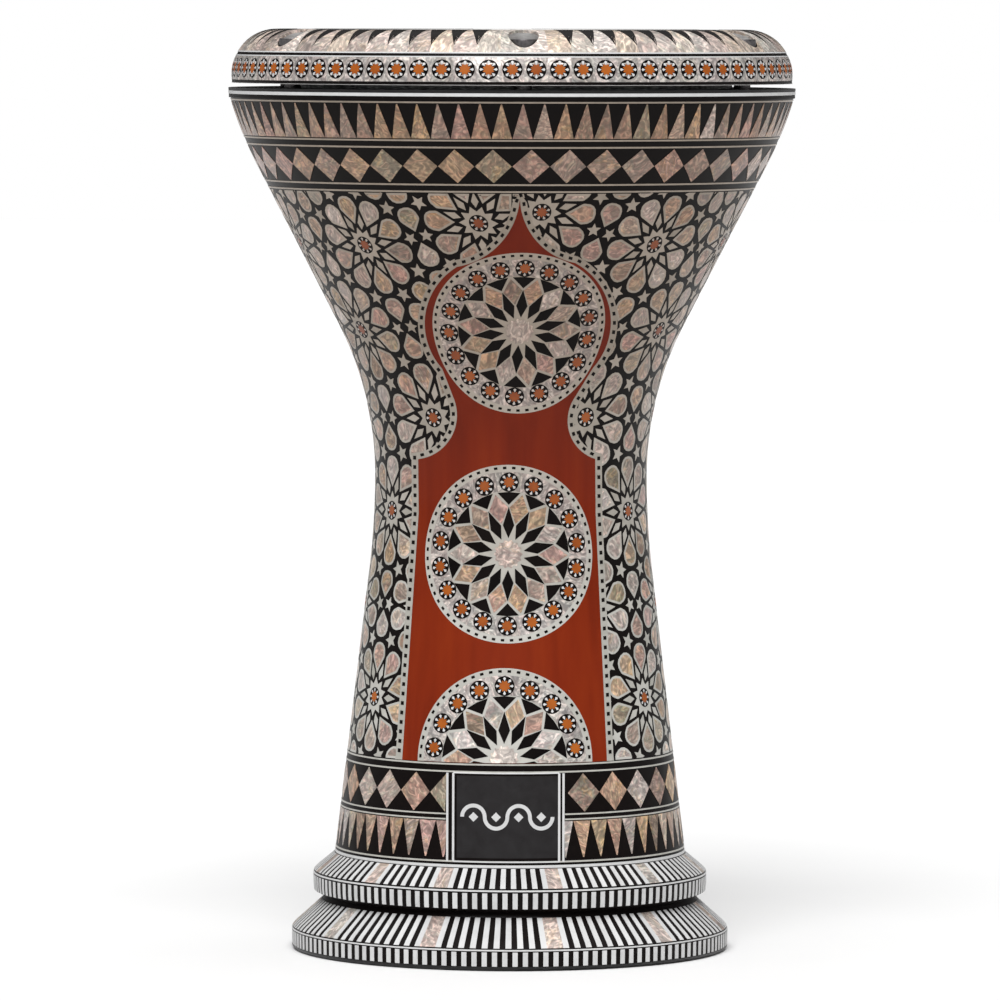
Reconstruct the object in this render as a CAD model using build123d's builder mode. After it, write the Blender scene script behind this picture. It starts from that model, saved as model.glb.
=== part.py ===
from build123d import *
import os
from math import asin, cos, degrees, radians, sin, tan

# Goblet drum (darbuka), sombaty size: a cast aluminium shell under a thin inlaid skin, with a plastic
# head that a rounded ring and six screws pull down over a raised bearing edge.
# Frame: millimetres, +Z up the drum's axis, origin on the axis in the plane of the foot, front towards -Y.

# ---------------------------------------------------------------- driving dimensions
# Barrel: a straight lower cone, a waist of two arcs, a straight upper cone and an arc up to the rim
barrel_bottom = 47.0
neck_radius = 66.2
neck_height = 230.6
waist_low_arc = 385.0
waist_high_arc = 160.0
low_cone_angle = 6.8
high_cone_angle = 27.2
high_cone_top = 381.3
rim_arc = 186.0

# Rim lip, flange and bearing edge
lip_bottom = 413.8
lip_top = 418.5
lip_radius = 137.5
flange_bottom = 410.5
flange_thickening = 388.0
collar_inner_radius = 102.5
collar_outer_radius = 106.0
bead_radius = 2.5
bead_centre_radius = 105.0
bead_centre_height = 439.5

# Walls
inlay = 1.2
wall = 4.5

# Foot: corners of its outside line (radius, height) with the rounding of each
foot_corners = [(95.9, 38.3), (95.6, 27.6), (89.2, 26.3), (106.3, 11.0), (106.1, 0.0)]
foot_roundings = [3.0, 2.2, 0.8, 3.5, 2.0]
foot_inner_radius = 98.0
foot_inner_corners = [(98.0, 8.0), (84.0, 28.0)]

# Tension ring, at playing tension
ring_bottom = 420.8
ring_outer_radius = 136.0
ring_inner_radius = 110.9
shoulder_arc = 22.0
shoulder_centre_height = 424.8
ring_edge_rounding = 1.5
pocket_radius = 115.6
pocket_ceiling = 434.9

# Head and hoop
film_thickness = 0.25
skirt_bend_height = 433.5
skirt_channel_radius = 111.2
skirt_channel_height = 430.9
skirt_end = 427.6
hoop_inner_radius = 108.4
hoop_outer_radius = 115.4
hoop_bottom = 423.0
hoop_floor = 1.2
hoop_inner_wall_top = 428.4
hoop_inner_wall = 1.0
hoop_outer_wall = 1.6

# Tuning screws: M8 socket heads, one nearly at the front
bolt_count = 6
bolt_circle = 124.0
first_bolt_angle = -87.6
counterbore_radius = 7.2
counterbore_floor = 433.3
clearance_hole_radius = 4.5
threaded_hole_radius = 4.06
threaded_hole_bottom = 400.5
shank_radius = 4.0
shank_end = 404.5
shank_chamfer = 0.8
head_radius = 6.5
head_bottom = 434.5
head_height = 8.0
head_rounding = 0.6
socket_flats = 6.0
socket_depth = 4.0
washer_radius = 6.9
washer_bore = 4.3
washer_thickness = 1.15

# Heights that part the inlay's rows, from the rim down
upper_triangle_bottom = 395.4
upper_diamond_top = 390.8
upper_diamond_bottom = 374.4
field_top = 369.8
field_bottom = 96.8
lower_diamond_top = 92.6
lower_diamond_bottom = 74.2
lower_triangle_top = 70.6
lower_triangle_bottom = 52.2
bead_slope_bottom = 38.2
bead_face_top = 36.2
bead_face_bottom = 28.4
foot_slope_top = 24.2
foot_slope_bottom = 10.8
foot_face_top = 9.2
foot_face_bottom = 2.2
ring_shoulder_bottom = 436.4
ring_shoulder_inner_radius = 112.8
ring_rosette_top = 434.0
ring_rosette_bottom = 422.4
ring_inlay_bottom = 421.0

# Medallions: (centre across, centre height, half width, half height), seen from the front
medallions = {
    "medallion_upper": (3.4, 303.0, 40.0, 38.9),
    "medallion_middle": (-0.8, 196.3, 40.6, 42.6),
    "medallion_lower": (-2.9, 98.4, 42.3, 42.8),
}
border_width = 3.2
panel_strip = 0.8  # the least red left between a medallion and the panel's edge

# Name panel near the foot, seen from the front
panel_centre = -1.4
panel_width = 48.4
panel_bottom = 51.8
panel_top = 90.8
frame_width = 54.6
frame_bottom = 50.0

reach = 160.0  # longer than any radius, for cuts made from the front


# ---------------------------------------------------------------- outlines
def barrel_line(inset, bottom, top):
    """The barrel's outside line moved inwards by inset, from one height up to another."""
    low = radians(low_cone_angle)
    high = radians(high_cone_angle)
    low_radius = waist_low_arc + inset
    high_radius = waist_high_arc + inset
    neck = (neck_radius - inset, neck_height)
    low_end = (neck[0] + low_radius * (1 - cos(low)), neck_height - low_radius * sin(low))
    start = (low_end[0] + (low_end[1] - bottom) * tan(low), bottom)
    high_start_height = neck_height + waist_high_arc * sin(high)
    high_start_radius = neck_radius + waist_high_arc * (1 - cos(high))
    high_length = (high_cone_top - high_start_height) / cos(high)
    rim_start_radius = high_start_radius + high_length * sin(high)
    rim_centre_height = high_cone_top + rim_arc * sin(high)
    rim_radius = rim_arc - inset
    rim_start_height = rim_centre_height - rim_radius * sin(high)
    rim_end_angle = asin((rim_centre_height - top) / rim_radius)
    with BuildLine() as line:
        cone = Line(start, low_end)
        waist_low = JernArc(cone @ 1, cone % 1, low_radius, -low_cone_angle)
        waist_high = JernArc(waist_low @ 1, waist_low % 1, high_radius, -high_cone_angle)
        rim_start = (rim_start_radius - inset * cos(high), rim_start_height)
        upper_cone = Line(waist_high @ 1, rim_start)
        JernArc(upper_cone @ 1, upper_cone % 1, rim_radius, degrees(high - rim_end_angle))
    return line.line


def foot_line():
    """The foot's outside line from the barrel down to the floor, with two rounded beads."""
    top = barrel_line(0, barrel_bottom, lip_bottom) @ 0
    points = [(top.X, top.Y)] + foot_corners + [(foot_inner_radius, 0)]
    with BuildLine() as line:
        FilletPolyline(*points, radius=foot_roundings)
    return line.line


def zone(low, high):
    """A rectangle between two corners."""
    with BuildSketch() as sketch:
        with Locations(((low[0] + high[0]) / 2, (low[1] + high[1]) / 2)):
            Rectangle(high[0] - low[0], high[1] - low[1])
    return sketch.sketch


def silhouette():
    """Half of the shell's outside shape, filled to the axis, without the collar."""
    with BuildSketch() as sketch:
        with BuildLine():
            barrel = barrel_line(0, barrel_bottom, lip_bottom)
            add(barrel)
            Polyline(barrel @ 1, (lip_radius, lip_bottom), (lip_radius, lip_top), (0, lip_top), (0, 0),
                     (foot_inner_radius, 0))
            add(foot_line())
        make_face()
    return sketch.sketch


def barrel_skin():
    """Section of the inlaid skin over the whole barrel."""
    outer = barrel_line(0, barrel_bottom, lip_bottom)
    inner = barrel_line(inlay, barrel_bottom, lip_bottom)
    with BuildSketch() as sketch:
        with BuildLine():
            add(outer)
            add(inner)
            Line(outer @ 0, inner @ 0)
            Line(outer @ 1, inner @ 1)
        make_face()
    return sketch.sketch


def foot_skin():
    """Section of the inlaid skin over the foot's two beads."""
    top = foot_line() @ 0
    with BuildSketch() as solid:
        with BuildLine():
            add(foot_line())
            Polyline((foot_inner_radius, 0), (0, 0), (0, top.Y + reach), (top.X, top.Y + reach), top)
        make_face()
    with BuildSketch() as core:
        add(solid.sketch)
        offset(amount=-inlay)
    with BuildSketch() as sketch:
        add(solid.sketch)
        add(core.sketch, mode=Mode.SUBTRACT)
        add(zone((neck_radius, foot_face_bottom), (reach, barrel_bottom)), mode=Mode.INTERSECT)
    return sketch.sketch


def ring_section():
    """Section of the tension ring, with the pocket that holds the hoop."""
    shoulder_centre = (ring_outer_radius - shoulder_arc, shoulder_centre_height)
    top = shoulder_centre_height + shoulder_arc
    edge_centre = (ring_inner_radius + ring_edge_rounding, top - ring_edge_rounding)
    with BuildSketch() as sketch:
        with BuildLine():
            Polyline((pocket_radius, ring_bottom), (ring_outer_radius, ring_bottom),
                     (ring_outer_radius, shoulder_centre_height))
            CenterArc(shoulder_centre, shoulder_arc, 0, 90)
            Line((shoulder_centre[0], top), (edge_centre[0], top))
            CenterArc(edge_centre, ring_edge_rounding, 90, 90)
            Polyline((ring_inner_radius, edge_centre[1]), (ring_inner_radius, pocket_ceiling),
                     (pocket_radius, pocket_ceiling), (pocket_radius, ring_bottom))
        make_face()
    return sketch.sketch


def ring_skin():
    """Section of the inlaid skin over the ring's shoulder and outer face."""
    ring_top = shoulder_centre_height + shoulder_arc
    shoulder_mid_height = shoulder_centre_height + 0.7 * shoulder_arc
    shoulder_mid_radius = ring_outer_radius - 0.4 * shoulder_arc
    with BuildSketch() as core:
        add(ring_section())
        offset(amount=-inlay)
    with BuildSketch() as covered:
        add(zone((ring_shoulder_inner_radius, shoulder_mid_height), (reach, ring_top)))
        add(zone((shoulder_mid_radius, shoulder_centre_height), (reach, shoulder_mid_height)))
        add(zone((ring_outer_radius - inlay, ring_inlay_bottom), (reach, shoulder_centre_height)))
    with BuildSketch() as sketch:
        add(ring_section())
        add(core.sketch, mode=Mode.SUBTRACT)
        add(covered.sketch, mode=Mode.INTERSECT)
    return sketch.sketch


def arch_outline():
    """The red panel's pointed arch, seen from the front."""
    apex = (3.7, 367.0)
    with BuildSketch() as sketch:
        with BuildLine():
            ThreePointArc(apex, (-4.5, 347.0), (-26.0, 334.5))
            ThreePointArc((-26.0, 334.5), (-41.2, 310.0), (-33.0, 285.0))
            Line((-33.0, 285.0), (-28.0, 272.0))
            ThreePointArc((-28.0, 272.0), (-29.6, 250.4), (-44.6, 240.7))
            Polyline((-44.6, 240.7), (-44.3, 215.0), (-51.9, field_bottom), (46.3, field_bottom),
                     (40.6, 215.0), (40.3, 241.2))
            ThreePointArc((40.3, 241.2), (29.9, 249.6), (29.5, 270.0))
            Line((29.5, 270.0), (39.0, 285.5))
            ThreePointArc((39.0, 285.5), (47.2, 310.7), (30.0, 336.5))
            ThreePointArc((30.0, 336.5), (10.8, 348.1), apex)
        make_face()
    return sketch.sketch


def arch_with_border():
    """The arch and its dotted border together."""
    with BuildSketch() as sketch:
        add(arch_outline())
        offset(amount=border_width)
        add(zone((-reach, field_bottom), (reach, field_top)), mode=Mode.INTERSECT)
    return sketch.sketch


def medallion_outline(name):
    """A round medallion, foreshortened by the slope and the curve that it lies on."""
    across, height, half_width, half_height = medallions[name]
    with BuildSketch() as sketch:
        with Locations((across, height)):
            Ellipse(half_width, half_height)
        add(zone((-reach, field_bottom), (reach, field_top)), mode=Mode.INTERSECT)
    return sketch.sketch


def panel_ornament_outline():
    """A plain running scroll: a wave of half rings with a lozenge in the hollow of each."""
    bends = 4
    bend_radius = 5.4
    ribbon = 1.8
    lozenge_radius = 2.3
    middle = (panel_bottom + panel_top) / 2
    start = panel_centre - (bends - 1) * bend_radius
    with BuildSketch() as sketch:
        with BuildLine():
            for bend in range(bends):
                up = 1 if bend % 2 == 0 else -1
                CenterArc((start + 2 * bend * bend_radius, middle), bend_radius, 180, -180 * up)
        trace(line_width=ribbon)
        for bend in range(bends):
            with Locations((start + 2 * bend * bend_radius, middle)):
                RegularPolygon(lozenge_radius, 4)
    return sketch.sketch


# ---------------------------------------------------------------- making the pieces
def save(part, name):
    part.label = name
    export_step(part, f"parts/{name}.step")


def bolt_places():
    return PolarLocations(bolt_circle, bolt_count, start_angle=first_bolt_angle)


def inlay_row(name, skin, low, high, inside=None, outside=None, bolt_holes=False):
    """One row of inlay: the stretch of a skin's section between two heights, revolved. Seen from the
    front, it is kept only within the outline inside, and cut away within the outline outside."""
    with BuildPart() as row:
        with BuildSketch(Plane.XZ):
            add(skin)
            add(zone((0, low), (reach, high)), mode=Mode.INTERSECT)
        revolve(axis=Axis.Z)
        if inside is not None:
            with BuildSketch(Plane.XZ):
                add(inside)
            extrude(amount=reach, mode=Mode.INTERSECT)
        if outside is not None:
            with BuildSketch(Plane.XZ):
                add(outside)
            extrude(amount=reach, mode=Mode.SUBTRACT)
        if bolt_holes:
            with BuildSketch(Plane.XY.offset(low)):
                with bolt_places():
                    Circle(counterbore_radius)
            extrude(amount=reach, mode=Mode.SUBTRACT)
    save(row.part, name)


os.makedirs("parts", exist_ok=True)

barrel_section = barrel_skin()
foot_section = foot_skin()
ring_skin_section = ring_skin()

# Shell: the casting, hollow from the flange to the open foot
with BuildSketch() as cavity:
    inner_barrel = barrel_line(inlay + wall, barrel_bottom, flange_thickening)
    with BuildLine():
        add(inner_barrel)
        Polyline(inner_barrel @ 1, (collar_inner_radius, flange_bottom),
                 (collar_inner_radius, lip_top + reach), (0, lip_top + reach), (0, -reach),
                 (foot_inner_radius, -reach), *foot_inner_corners, inner_barrel @ 0)
    make_face()

with BuildPart() as shell:
    with BuildSketch(Plane.XZ):
        add(silhouette())
        add(barrel_section, mode=Mode.SUBTRACT)
        add(foot_section, mode=Mode.SUBTRACT)
        add(zone((lip_radius - inlay, lip_bottom), (lip_radius, lip_top - inlay)), mode=Mode.SUBTRACT)
        add(zone((collar_inner_radius, flange_bottom), (collar_outer_radius, bead_centre_height)))
        with Locations((bead_centre_radius, bead_centre_height)):
            Circle(bead_radius)
        add(cavity.sketch, mode=Mode.SUBTRACT)
    revolve(axis=Axis.Z)
    with BuildSketch(Plane.XY.offset(lip_top)):
        with bolt_places():
            Circle(threaded_hole_radius)
    extrude(amount=threaded_hole_bottom - lip_top, mode=Mode.SUBTRACT)
save(shell.part, "shell")

# Head film: flat over the bearing edge, then a skirt down and out into the hoop's channel
with BuildPart() as head_film:
    with BuildSketch(Plane.XZ):
        film_height = bead_centre_height + bead_radius
        skirt_radius = bead_centre_radius + bead_radius
        with BuildLine():
            Line((0, film_height), (bead_centre_radius, film_height))
            CenterArc((bead_centre_radius, bead_centre_height), bead_radius, 90, -90)
            Polyline((skirt_radius, bead_centre_height), (skirt_radius, skirt_bend_height),
                     (skirt_channel_radius, skirt_channel_height), (skirt_channel_radius, skirt_end))
            offset(amount=film_thickness, side=Side.LEFT)
        make_face()
    revolve(axis=Axis.Z)
save(head_film.part, "head_film")

# Hoop: a channel, open upwards, whose outer wall bears against the ring's pocket
with BuildPart() as head_hoop:
    with BuildSketch(Plane.XZ):
        add(zone((hoop_inner_radius, hoop_bottom), (hoop_outer_radius, hoop_bottom + hoop_floor)))
        add(zone((hoop_inner_radius, hoop_bottom),
                 (hoop_inner_radius + hoop_inner_wall, hoop_inner_wall_top)))
        add(zone((hoop_outer_radius - hoop_outer_wall, hoop_bottom), (hoop_outer_radius, pocket_ceiling)))
    revolve(axis=Axis.Z)
save(head_hoop.part, "head_hoop")

# Tension ring: counterbored for the screw heads
with BuildPart() as tension_ring:
    with BuildSketch(Plane.XZ):
        add(ring_section())
        add(ring_skin_section, mode=Mode.SUBTRACT)
    revolve(axis=Axis.Z)
    with BuildSketch(Plane.XY.offset(counterbore_floor)):
        with bolt_places():
            Circle(counterbore_radius)
    extrude(amount=reach, mode=Mode.SUBTRACT)
    with BuildSketch(Plane.XY.offset(ring_bottom)):
        with bolt_places():
            Circle(clearance_hole_radius)
    extrude(amount=counterbore_floor - ring_bottom, mode=Mode.SUBTRACT)
save(tension_ring.part, "tension_ring")

with BuildPart() as bolt_washers:
    with BuildSketch(Plane.XY.offset(counterbore_floor)):
        with bolt_places():
            Circle(washer_radius)
        with bolt_places():
            Circle(washer_bore, mode=Mode.SUBTRACT)
    extrude(amount=washer_thickness)
save(bolt_washers.part, "bolt_washers")

# Tuning screws
for number, place in enumerate(bolt_places().local_locations, start=1):
    centre = place.position
    with BuildPart() as bolt:
        with BuildSketch(Plane.XY.offset(shank_end)):
            with Locations((centre.X, centre.Y)):
                Circle(shank_radius)
        extrude(amount=head_bottom - shank_end)
        chamfer(bolt.edges().sort_by(Axis.Z)[0], shank_chamfer)
        with BuildSketch(Plane.XY.offset(head_bottom)):
            with Locations((centre.X, centre.Y)):
                Circle(head_radius)
        extrude(amount=head_height)
        fillet(bolt.edges().sort_by(Axis.Z)[-1], head_rounding)
        with BuildSketch(Plane.XY.offset(head_bottom + head_height)):
            with Locations((centre.X, centre.Y)):
                RegularPolygon(socket_flats / 2, 6, major_radius=False)
        extrude(amount=-socket_depth, mode=Mode.SUBTRACT)
    save(bolt.part, f"tuning_bolt_{number}")

# Inlay on the ring
ring_top = shoulder_centre_height + shoulder_arc
inlay_row("ring_shoulder_inlay", ring_skin_section, ring_shoulder_bottom, ring_top, bolt_holes=True)
inlay_row("ring_upper_stringing", ring_skin_section, ring_rosette_top, ring_shoulder_bottom)
inlay_row("ring_rosette_band", ring_skin_section, ring_rosette_bottom, ring_rosette_top)
inlay_row("ring_lower_stringing", ring_skin_section, ring_inlay_bottom, ring_rosette_bottom)

# Inlay round the rim
lip_section = zone((lip_radius - inlay, lip_bottom), (lip_radius, lip_top - inlay))
inlay_row("rim_stringing", lip_section, lip_bottom, lip_top)
inlay_row("upper_triangle_band", barrel_section, upper_triangle_bottom, lip_bottom)
inlay_row("upper_stringing", barrel_section, upper_diamond_top, upper_triangle_bottom)
inlay_row("upper_diamond_band", barrel_section, upper_diamond_bottom, upper_diamond_top)
inlay_row("field_top_stringing", barrel_section, field_top, upper_diamond_bottom)

# Inlay over the goblet's main field
border = arch_with_border()
panel = arch_outline()
inlay_row("star_field", barrel_section, field_bottom, field_top, outside=border)
inlay_row("arch_border", barrel_section, field_bottom, field_top, inside=border, outside=panel)
with BuildSketch() as panel_core:
    add(panel)
    offset(amount=-panel_strip)
with BuildSketch() as discs:
    for medallion in medallions:
        add(medallion_outline(medallion))
    add(panel_core.sketch, mode=Mode.INTERSECT)
inlay_row("arch_panel", barrel_section, field_bottom, field_top, inside=panel, outside=discs.sketch)
for medallion in medallions:
    with BuildSketch() as disc:
        add(medallion_outline(medallion))
        add(panel_core.sketch, mode=Mode.INTERSECT)
    inlay_row(medallion, barrel_section, field_bottom, field_top, inside=disc.sketch)
inlay_row("field_base_stringing", barrel_section, lower_diamond_top, field_bottom)

# Inlay between the field and the foot, broken by the name panel
frame = zone((panel_centre - frame_width / 2, frame_bottom), (panel_centre + frame_width / 2, lower_diamond_top))
plate = zone((panel_centre - panel_width / 2, panel_bottom), (panel_centre + panel_width / 2, panel_top))
ornament = panel_ornament_outline()
inlay_row("lower_diamond_band", barrel_section, lower_diamond_bottom, lower_diamond_top, outside=frame)
inlay_row("lower_stringing", barrel_section, lower_triangle_top, lower_diamond_bottom, outside=frame)
inlay_row("lower_triangle_band", barrel_section, lower_triangle_bottom, lower_triangle_top, outside=frame)
inlay_row("foot_stringing", barrel_section, barrel_bottom, lower_triangle_bottom, outside=frame)
inlay_row("name_panel_frame", barrel_section, frame_bottom, lower_diamond_top, inside=frame, outside=plate)
inlay_row("name_panel", barrel_section, panel_bottom, panel_top, inside=plate, outside=ornament)
inlay_row("name_panel_ornament", barrel_section, panel_bottom, panel_top, inside=ornament)

# Inlay on the foot's two beads
inlay_row("upper_bead_slope_inlay", foot_section, bead_slope_bottom, barrel_bottom)
inlay_row("upper_bead_edge_stringing", foot_section, bead_face_top, bead_slope_bottom)
inlay_row("upper_bead_face_inlay", foot_section, bead_face_bottom, bead_face_top)
inlay_row("bead_valley_stringing", foot_section, foot_slope_top, bead_face_bottom)
inlay_row("lower_bead_slope_inlay", foot_section, foot_slope_bottom, foot_slope_top)
inlay_row("lower_bead_edge_stringing", foot_section, foot_face_top, foot_slope_bottom)
inlay_row("lower_bead_face_inlay", foot_section, foot_face_bottom, foot_face_top)
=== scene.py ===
import random
from math import acos, asin, atan2, cos, dist, pi, radians, sin, sqrt, tan

import bpy
import numpy as np
from mathutils.geometry import delaunay_2d_cdt
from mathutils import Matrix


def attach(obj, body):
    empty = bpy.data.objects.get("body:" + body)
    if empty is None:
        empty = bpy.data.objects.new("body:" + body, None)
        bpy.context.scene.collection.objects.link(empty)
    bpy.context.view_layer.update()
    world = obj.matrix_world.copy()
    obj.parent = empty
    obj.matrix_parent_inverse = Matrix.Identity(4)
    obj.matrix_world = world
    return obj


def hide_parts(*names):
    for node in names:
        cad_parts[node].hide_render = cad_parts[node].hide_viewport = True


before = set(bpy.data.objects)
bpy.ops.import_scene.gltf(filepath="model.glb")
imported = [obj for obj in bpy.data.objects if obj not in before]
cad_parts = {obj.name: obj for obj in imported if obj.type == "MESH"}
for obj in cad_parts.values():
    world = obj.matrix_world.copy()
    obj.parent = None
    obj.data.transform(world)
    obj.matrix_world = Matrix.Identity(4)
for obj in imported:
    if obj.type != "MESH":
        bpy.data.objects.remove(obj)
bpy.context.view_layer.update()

# Darbuka with a mosaic skin. The patterns are laid out in millimetres on the drum's surface, in two
# coordinates: the turn round the axis (radians, 0 at the front, rising to the right) and the distance
# along the outside line, measured upwards. Meshes are in metres.

chance = random.Random(7)
MM = 0.001
FULL_TURN = 2 * pi


# ---- sizes shared with the CAD model (mm)
NECK_RADIUS = 66.2
NECK_HEIGHT = 230.6
WAIST_LOW_ARC = 385.0
WAIST_HIGH_ARC = 160.0
LOW_CONE_ANGLE = radians(6.8)
HIGH_CONE_ANGLE = radians(27.2)
HIGH_CONE_TOP = 381.3
RIM_ARC = 186.0
LIP_RADIUS = 137.5
FOOT_CORNERS = [(98.0, 0.0), (106.1, 0.0), (106.3, 11.0), (89.2, 26.3), (95.6, 27.6), (95.9, 38.3),
                (85.4, 47.0)]
FOOT_ROUNDINGS = [0.0, 2.0, 3.5, 0.8, 2.2, 3.0, 0.0]
RING_RADIUS = 136.0
SHOULDER_ARC = 22.0
SHOULDER_HEIGHT = 424.8
SHOULDER_INNER_RADIUS = 112.8
SHOULDER_TRIANGLES = 74
BOLT_CIRCLE = 124.0
BOLT_COUNT = 6
FIRST_BOLT_ANGLE = radians(2.4)
PANEL_RIGHT = 22.8

# Sizes of the pattern alone (mm)
BOLT_CLEARANCE = 12.0
DOT_PITCH = 4.5
FRAME_LEFT = -30.8
FRAME_RIGHT = 26.1
FRAME_BOTTOM = 49.6
FRAME_TOP = 92.3

# The rows of inlay from the foot to the ring, and the heights that each lies between
ROWS = {"lower_bead_face_inlay": (2.2, 9.2), "lower_bead_edge_stringing": (9.2, 10.8),
        "lower_bead_slope_inlay": (10.8, 24.2), "bead_valley_stringing": (24.2, 28.4),
        "upper_bead_face_inlay": (28.4, 36.2), "upper_bead_edge_stringing": (36.2, 38.2),
        "upper_bead_slope_inlay": (38.2, 47.0), "foot_stringing": (47.0, 51.4),
        "lower_triangle_band": (51.4, 69.4), "lower_stringing": (69.4, 73.0),
        "lower_diamond_band": (73.0, 91.9), "field_base_stringing": (91.9, 96.8),
        "star_field": (96.8, 369.8), "field_top_stringing": (369.8, 374.4),
        "upper_diamond_band": (374.4, 390.8), "upper_stringing": (390.8, 395.4),
        "upper_triangle_band": (395.4, 413.8), "rim_stringing": (413.8, 417.3),
        "ring_lower_stringing": (421.0, 422.4), "ring_rosette_band": (422.4, 434.0),
        "ring_upper_stringing": (434.0, 436.4)}
BARREL_BOTTOM = ROWS["foot_stringing"][0]
BARREL_TOP = ROWS["upper_triangle_band"][1]
FIELD_BOTTOM, FIELD_TOP = ROWS["star_field"]

# Levels above the nominal surface. Grounds and tiles go down to a floor inside the skin; of what is
# seen the resin ground is lowest and the medallions are highest.
FLOOR = -1.1
TILE_FLOOR = -0.35
GROUND = -0.25
STAR_TILE = -0.13
RING_TILE = -0.12
ROW_TILE = -0.05
BORDER = -0.03
BORDER_DOT = 0.03
PANEL = 0.06
DISC = 0.14
DISC_RING = 0.19
DISC_DOT = 0.2
DISC_GROUND = 0.2
DISC_ROSETTE = 0.26
DISC_TILE = 0.28
DISC_CENTRE = 0.34


# ---- outside lines
def barrel_radius(height):
    """The barrel's outside radius at a height."""
    low_start = NECK_HEIGHT - WAIST_LOW_ARC * sin(LOW_CONE_ANGLE)
    low_radius = NECK_RADIUS + WAIST_LOW_ARC * (1 - cos(LOW_CONE_ANGLE))
    high_start = NECK_HEIGHT + WAIST_HIGH_ARC * sin(HIGH_CONE_ANGLE)
    high_radius = NECK_RADIUS + WAIST_HIGH_ARC * (1 - cos(HIGH_CONE_ANGLE))
    if height < low_start:
        return low_radius + (low_start - height) * tan(LOW_CONE_ANGLE)
    if height < NECK_HEIGHT:
        return NECK_RADIUS + WAIST_LOW_ARC - sqrt(WAIST_LOW_ARC**2 - (NECK_HEIGHT - height) ** 2)
    if height < high_start:
        return NECK_RADIUS + WAIST_HIGH_ARC - sqrt(WAIST_HIGH_ARC**2 - (height - NECK_HEIGHT) ** 2)
    if height < HIGH_CONE_TOP:
        return high_radius + (height - high_start) * tan(HIGH_CONE_ANGLE)
    rim_radius = high_radius + (HIGH_CONE_TOP - high_start) * tan(HIGH_CONE_ANGLE)
    centre_radius = rim_radius - RIM_ARC * cos(HIGH_CONE_ANGLE)
    centre_height = HIGH_CONE_TOP + RIM_ARC * sin(HIGH_CONE_ANGLE)
    return centre_radius + sqrt(RIM_ARC**2 - (centre_height - height) ** 2)


def rounded(corners, roundings, step=0.4):
    """A polyline with its corners rounded by arcs, as closely spaced points."""
    corners = [np.array(corner, float) for corner in corners]
    points = [corners[0]]
    for before, corner, after, radius in zip(corners, corners[1:], corners[2:], roundings[1:]):
        back = (before - corner) / np.linalg.norm(before - corner)
        on = (after - corner) / np.linalg.norm(after - corner)
        half = acos(np.clip(back @ on, -1, 1)) / 2
        centre = corner + (back + on) / np.linalg.norm(back + on) * radius / sin(half)
        start = corner + back * radius / tan(half) - centre
        end = corner + on * radius / tan(half) - centre
        turn = atan2(start[0] * end[1] - start[1] * end[0], start @ end)
        count = max(3, int(abs(turn) * radius / step))
        for angle in np.linspace(0, turn, count):
            spin = np.array([[cos(angle), -sin(angle)], [sin(angle), cos(angle)]])
            points.append(centre + spin @ start)
    points.append(corners[-1])
    return points


class Profile:
    """An outside line of (radius, height) points that runs upwards and is turned round the axis."""

    def __init__(self, points):
        points = np.array(points, float)
        keep = np.concatenate([[True], np.hypot(*np.diff(points, axis=0).T) > 1e-6])
        self.points = points[keep]
        lengths = np.hypot(*np.diff(self.points, axis=0).T)
        self.along = np.concatenate([[0.0], np.cumsum(lengths)])
        self.tangents = np.gradient(self.points, self.along, axis=0)
        self.tangents /= np.linalg.norm(self.tangents, axis=1)[:, None]

    def radius(self, along):
        return np.interp(along, self.along, self.points[:, 0])

    def height(self, along):
        return np.interp(along, self.along, self.points[:, 1])

    def slope(self, along):
        """How fast the radius grows with the distance along the line."""
        return np.interp(along, self.along, self.tangents[:, 0])

    def at_height(self, height):
        return float(np.interp(height, self.points[:, 1], self.along))

    def place(self, spots, level):
        """Points in metres for (turn, along) spots at a level above the surface."""
        turn, along = np.asarray(spots, float).T
        radius = self.radius(along) + level * np.interp(along, self.along, self.tangents[:, 1])
        height = self.height(along) - level * self.slope(along)
        return np.column_stack([radius * np.sin(turn), -radius * np.cos(turn), height]) * MM

    def from_front(self, seen):
        """(turn, along) of points given as (across, height) seen from the front."""
        across, height = np.asarray(seen, float).T
        along = np.interp(height, self.points[:, 1], self.along)
        return np.column_stack([np.arcsin(np.clip(across / self.radius(along), -1, 1)), along])


barrel_steps = 734
barrel = Profile([(barrel_radius(h), h) for h in np.linspace(BARREL_BOTTOM, BARREL_TOP, barrel_steps)])
foot = Profile(rounded(FOOT_CORNERS, FOOT_ROUNDINGS))
lip = Profile([(LIP_RADIUS, height) for height in ROWS["rim_stringing"]])
shoulder = [(RING_RADIUS - SHOULDER_ARC * (1 - cos(a)), SHOULDER_HEIGHT + SHOULDER_ARC * sin(a))
            for a in np.linspace(0, pi / 2, 60)]
ring_face = Profile([(RING_RADIUS, ROWS["ring_lower_stringing"][0])] + shoulder
                    + [(SHOULDER_INNER_RADIUS, SHOULDER_HEIGHT + SHOULDER_ARC)])


class Sheet:
    """A flat sheet of pattern laid on the drum: (across, up) in mm from the line at a given turn, rolled
    on without stretching near that line. curl says how much of the cone's curl it follows."""

    def __init__(self, profile, middle, curl=1.0):
        self.profile = profile
        self.middle = middle
        self.curl = curl

    def lay(self, flat):
        across, up = np.asarray(flat, float).T
        along = up.copy()
        # Each pass brings the distance along nearer to its true value
        for _ in range(14):
            radius = self.profile.radius(along)
            bend = self.curl * self.profile.slope(along)
            bend = np.where(np.abs(bend) < 1e-4, 1e-4, bend)
            turn = np.arcsin(np.clip(bend * across / radius, -0.999, 0.999)) / bend
            along = up + radius / bend * (1 - np.cos(bend * turn))
        return np.column_stack([self.middle + turn, along])


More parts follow.
